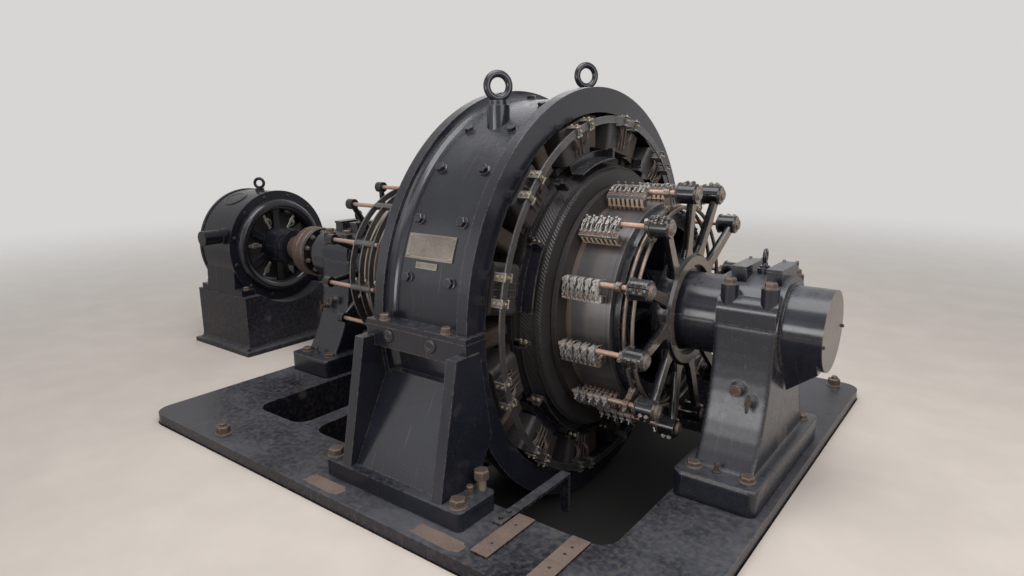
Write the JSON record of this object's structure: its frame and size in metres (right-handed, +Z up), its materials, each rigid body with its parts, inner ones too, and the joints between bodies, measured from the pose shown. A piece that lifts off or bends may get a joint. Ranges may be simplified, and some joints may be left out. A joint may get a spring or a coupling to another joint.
{
  "type": "rotary converter set",
  "caption": "Open twelve-pole rotary converter on a cast bedplate, with commutator, brush rocker, slip rings, pedestal bearings and a coupled starting motor.",
  "frame": {"origin": "middle of the foundation hole pattern on the underside of the bedplate, below the middle of the field yoke", "axes": "+X along the shaft towards the commutator end, +Y across the shaft, +Z up"},
  "size_m": [4.569, 2.8, 2.3062],
  "materials": {
    "blue_enamel": "glossy blue-black machine enamel, worn bright at the edges",
    "black_enamel": "glossy black enamel with dust",
    "bare_steel": "oily turned steel",
    "copper": "oxidised copper, brighter where brushes run",
    "dull_bronze": "dull bronze",
    "varnished_winding": "varnished tape winding",
    "laminations": "varnished sheet-steel laminations",
    "carbon": "copper-carbon brushes",
    "rusty_steel": "rusty machined steel",
    "cast_iron": "painted cast iron, dusty"
  },
  "bodies": {
    "root": {"bedplate": "cast_iron", "bed_tail": "cast_iron", "yoke_lower": "blue_enamel", "yoke_upper": "blue_enamel", "lifting_eyes": "blue_enamel", "main_poles": "laminations", "main_coils": "varnished_winding", "interpoles": "laminations", "interpole_coils": "copper", "field_straps": "bare_steel", "winding_guards": "black_enamel", "cable_bracket": "blue_enamel", "outboard_pedestal": "blue_enamel", "outboard_cap": "blue_enamel", "end_covers": "blue_enamel", "inboard_pedestal": "blue_enamel", "inboard_cap": "blue_enamel", "bearing_shells": "dull_bronze", "bearing_eyes": "bare_steel", "oil_fittings": "dull_bronze", "ac_star": "black_enamel", "ac_spindles": "copper", "collecting_rings": "bare_steel", "ac_brushes": "carbon", "motor_plinth": "cast_iron", "motor_frame": "blue_enamel", "motor_end_rings": "black_enamel", "motor_brackets": "blue_enamel"},
    "rotor": {"shaft": "bare_steel", "armature_core": "laminations", "armature_spider": "black_enamel", "end_windings": "varnished_winding", "commutator_risers": "copper", "commutator": "copper", "commutator_spider": "black_enamel", "slip_rings": "copper", "coupling_main_half": "rusty_steel", "coupling_motor_half": "rusty_steel", "motor_rotor": "bare_steel"},
    "rocker": {"rocker_star": "black_enamel", "brush_spindles": "copper", "brush_holders": "bare_steel", "brushes": "carbon", "connection_rings": "copper"},
    "outboard_lid_a": {"outboard_lid_a": "black_enamel"},
    "outboard_lid_b": {"outboard_lid_b": "black_enamel"},
    "inboard_lid_a": {"inboard_lid_a": "black_enamel"},
    "inboard_lid_b": {"inboard_lid_b": "black_enamel"}
  },
  "joints": [
    {"name": "rotor_spin", "type": "hinge", "parent": "root", "child": "rotor", "pos_m": [0, 0, 1.1], "axis": [1, 0, 0], "continuous": true},
    {"name": "rocker_shift", "type": "hinge", "parent": "root", "child": "rocker", "pos_m": [0.833, 0, 1.1], "axis": [1, 0, 0], "range_deg": [-6, 6]},
    {"name": "outboard_lid_a_hinge", "type": "hinge", "parent": "root", "child": "outboard_lid_a", "pos_m": [1.044, 0.122, 1.3525], "axis": [1, 0, 0], "range_deg": [-105, 0]},
    {"name": "outboard_lid_b_hinge", "type": "hinge", "parent": "root", "child": "outboard_lid_b", "pos_m": [1.196, 0.122, 1.3525], "axis": [1, 0, 0], "range_deg": [-105, 0]},
    {"name": "inboard_lid_a_hinge", "type": "hinge", "parent": "root", "child": "inboard_lid_a", "pos_m": [-1.676, 0.122, 1.3525], "axis": [1, 0, 0], "range_deg": [-105, 0]},
    {"name": "inboard_lid_b_hinge", "type": "hinge", "parent": "root", "child": "inboard_lid_b", "pos_m": [-1.524, 0.122, 1.3525], "axis": [1, 0, 0], "range_deg": [-105, 0]}
  ]
}
